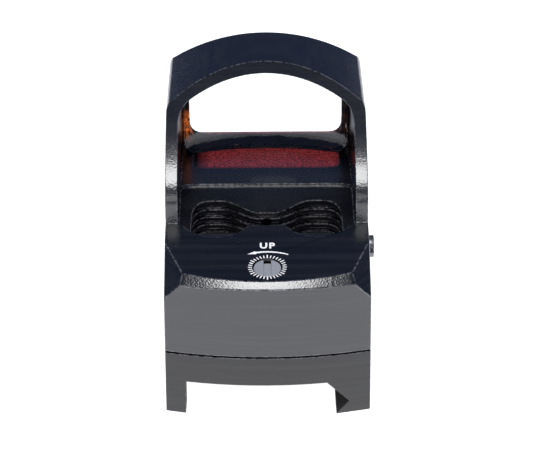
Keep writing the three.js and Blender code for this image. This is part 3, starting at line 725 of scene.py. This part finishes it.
class FINDER_OT_marks(FinderOperator, bpy.types.Operator):
    """Printed ring of ticks, curved arrow and the word over the elevation dial"""

    bl_idname = "finder.marks"
    bl_label = "Printed marks"

    def build(self, scene):
        marks = scene.finder_marks
        # The paint gives off a faint glow of its own colour: painted light that makes the marks
        # read whiter.
        paint = moulded_material("White paint", scene.finder_colours.paint, (0.4, 0.6), light=0.3)
        place = dial_matrix(marks.thick)
        self.ticks(marks, place, paint)
        self.arrow(marks, place, paint)
        self.word(marks, place, paint)

    def ticks(self, marks, place, paint):
        bm = bmesh.new()
        for index in range(marks.ticks):
            long = index % 16 in LONG_TICKS
            outer = marks.outer if long else marks.outer - 0.1 * MM
            width = (0.17 if long else 0.15) * MM
            centre = Matrix.Translation((0, (marks.inner + outer) / 2, 0))
            size = Matrix.Diagonal((width, outer - marks.inner, marks.thick, 1))
            turn = Matrix.Rotation(2 * math.pi * index / marks.ticks, 4, "Z")
            bmesh.ops.create_cube(bm, size=1, matrix=place @ turn @ centre @ size)
        self.finish(bm, "finder_dial_ticks", paint)

    def arrow(self, marks, place, paint):
        """A bent shaft from right to left over the dial, with its head at the left."""
        radius, reach, steps = 6.6 * MM, math.radians(23.3), 14
        centre_y = 3.36 * MM - radius
        bm = bmesh.new()
        for index in range(steps):
            angle = reach * (1 - 1.74 * index / steps)
            turn = Matrix.Rotation(-angle, 4, "Z")
            move = Matrix.Translation((0, centre_y, 0)) @ turn @ Matrix.Translation((0, radius, 0))
            share = index / steps
            size = Matrix.Diagonal((0.38 * MM, (0.18 + 0.16 * share) * MM, marks.thick, 1))
            bmesh.ops.create_cube(bm, size=1, matrix=place @ move @ size)
        tip = Matrix.Translation((0, centre_y, 0)) @ Matrix.Rotation(reach * 0.72, 4, "Z")
        head = Matrix.Translation((0, radius, 0)) @ Matrix.Rotation(math.pi, 4, "Z")
        size = Matrix.Diagonal((1.25 * MM, 0.6 * MM, marks.thick, 1))
        cone = bmesh.ops.create_circle(
            bm, cap_ends=True, segments=3, radius=0.6, matrix=Matrix.Rotation(-math.pi / 2, 4, "Z")
        )
        faces = list({face for vert in cone["verts"] for face in vert.link_faces})
        grown = bmesh.ops.extrude_face_region(bm, geom=faces)
        top = [item for item in grown["geom"] if isinstance(item, bmesh.types.BMVert)]
        bmesh.ops.translate(bm, verts=top, vec=(0, 0, 0.5))
        bmesh.ops.translate(bm, verts=cone["verts"], vec=(0, 0, -0.5))
        whole = list(cone["verts"]) + top
        bmesh.ops.transform(bm, matrix=place @ tip @ head @ size, verts=whole)
        bmesh.ops.recalc_face_normals(bm, faces=bm.faces)
        self.finish(bm, "finder_arrow", paint)

    def word(self, marks, place, paint):
        curve = bpy.data.curves.new("Word", "FONT")
        curve.body = "UP"
        curve.align_x, curve.align_y = "CENTER", "BOTTOM"
        curve.size = marks.height
        curve.space_character = 1.25
        curve.offset = 0.06 * MM
        curve.extrude = marks.thick / 2
        curve.resolution_u = 6
        text = bpy.data.objects.new("Word", curve)
        bpy.context.scene.collection.objects.link(text)
        bpy.context.view_layer.update()
        mesh = text.to_mesh()
        bm = bmesh.new()
        bm.from_mesh(mesh)
        bpy.data.objects.remove(text)
        bmesh.ops.remove_doubles(bm, verts=bm.verts, dist=0.001 * MM)
        bmesh.ops.recalc_face_normals(bm, faces=bm.faces)
        move = Matrix.Translation((0, 3.86 * MM, 0)) @ Matrix.Diagonal((0.9, 1, 1, 1))
        bmesh.ops.transform(bm, matrix=place @ move, verts=bm.verts)
        self.finish(bm, "finder_word", paint)

    def finish(self, bm, name, paint):
        piece = object_from(bm, name, paint)
        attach(piece, "body")


class FINDER_OT_stage(FinderOperator, bpy.types.Operator):
    """Pale floor, soft lights and the camera"""

    bl_idname = "finder.stage"
    bl_label = "Stage"

    def build(self, scene):
        self.floor(scene.finder_stage)
        self.lights()
        self.surroundings(scene)
        self.camera(scene)
        scene.view_settings.view_transform = "Standard"

    def floor(self, stage):
        bm = bmesh.new()
        bmesh.ops.create_grid(bm, x_segments=1, y_segments=1, size=3.0)
        bmesh.ops.translate(bm, verts=bm.verts, vec=(0, 0, -0.02 * MM))
        material, wires = new_material("Pale floor")
        path = wires.add("ShaderNodeLightPath").outputs
        mirrored = wires.fit(path["Glossy Depth"], 0.4, 0.6)
        through = wires.fit(path["Transmission Depth"], 0.4, 0.6)
        unseen = wires.math("MULTIPLY", mirrored, through)
        shade = wires.add(
            "ShaderNodeBsdfPrincipled",
            {
                "Base Color": rgba(stage.floor),
                "Roughness": 0.9,
                "Emission Color": rgba((1, 1, 1)),
                "Emission Strength": wires.math("SUBTRACT", 1.0, unseen),
            },
        )
        finish_material(wires, shade)
        object_from(bm, "floor", material)

    def lights(self):
        target = Vector((0, 0, 0.02))
        plan = {
            "Overhead": ((0, -0.26, 0.58), (0.26, 0.26), 2.4, (1, 1, 1)),
            "Front fill": ((-0.05, -0.7, 0.3), (0.3, 0.3), 0.5, (1, 0.99, 0.97)),
        }
        for name, (place, size, power, colour) in plan.items():
            light = bpy.data.lights.new(name, "AREA")
            light.shape = "RECTANGLE"
            light.size, light.size_y = size
            light.energy, light.color = power, colour
            lamp = bpy.data.objects.new(name, light)
            lamp.location = place
            lamp.rotation_mode = "QUATERNION"
            aim = target - Vector(place)
            lamp.rotation_quaternion = aim.to_track_quat("-Z", "Y")
            lamp.visible_camera = lamp.visible_transmission = False
            bpy.context.scene.collection.objects.link(lamp)

    def surroundings(self, scene):
        """White to the eye and dim and slightly blue to the metal."""
        world = bpy.data.worlds.new("Surroundings")
        world.use_nodes = True
        world.node_tree.nodes.clear()
        wires = Wiring(world.node_tree)
        path = wires.add("ShaderNodeLightPath").outputs
        bounces = wires.math("ADD", path["Glossy Depth"], path["Diffuse Depth"])
        seen = wires.math("LESS_THAN", bounces, 0.5)
        tone = mix_colour(wires, seen, (0.05, 0.07, 0.14, 1), (1, 1, 1, 1))
        light = wires.add("ShaderNodeBackground", {"Color": tone, "Strength": 1.0})
        wires.add("ShaderNodeOutputWorld", {"Surface": light.outputs[0]})
        scene.world = world

    def camera(self, scene):
        stage = scene.finder_stage
        data = bpy.data.cameras.new("Camera")
        data.lens = stage.focal
        data.clip_start, data.clip_end = 0.01, 10
        camera = bpy.data.objects.new("Camera", data)
        scene.collection.objects.link(camera)
        middle = (Vector(CAD_BOX[0]) + Vector(CAD_BOX[1])) / 2
        target = middle + VIEW_OFFSET
        turn = Matrix.Rotation(-stage.azimuth, 4, "Z")
        turn @= Matrix.Rotation(math.pi / 2 - stage.elevation, 4, "X")
        turn @= Matrix.Rotation(stage.roll, 4, "Z")
        back = turn @ Vector((0, 0, 1))
        camera.matrix_world = Matrix.Translation(target + back * stage.distance) @ turn
        scene.camera = camera


OPERATORS = (
    FINDER_OT_housing,
    FINDER_OT_mount,
    FINDER_OT_screws,
    FINDER_OT_dials,
    FINDER_OT_button,
    FINDER_OT_optics,
    FINDER_OT_electronics,
    FINDER_OT_mechanism,
    FINDER_OT_marks,
    FINDER_OT_stage,
)


class FINDER_PT_panel(bpy.types.Panel):
    bl_idname = "FINDER_PT_panel"
    bl_label = "Red Dot Finder"
    bl_space_type = "VIEW_3D"
    bl_region_type = "UI"
    bl_category = "Finder"

    def draw(self, context):
        for kind in OPERATORS:
            self.layout.operator(kind.bl_idname)
        for name in GROUPS:
            box = self.layout.box()
            settings = getattr(context.scene, name)
            for key in settings.bl_rna.properties.keys():
                if key not in ("rna_type", "name"):
                    box.prop(settings, key)


CLASSES = (*GROUPS.values(), *OPERATORS, FINDER_PT_panel)


def register():
    for kind in CLASSES:
        bpy.utils.register_class(kind)
    for name, kind in GROUPS.items():
        setattr(bpy.types.Scene, name, PointerProperty(type=kind))


def unregister():
    for name in GROUPS:
        delattr(bpy.types.Scene, name)
    for kind in reversed(CLASSES):
        bpy.utils.unregister_class(kind)


def main():
    register()
    for kind in OPERATORS:
        group, name = kind.bl_idname.split(".")
        getattr(getattr(bpy.ops, group), name)()


if __name__ == "__main__":
    main()
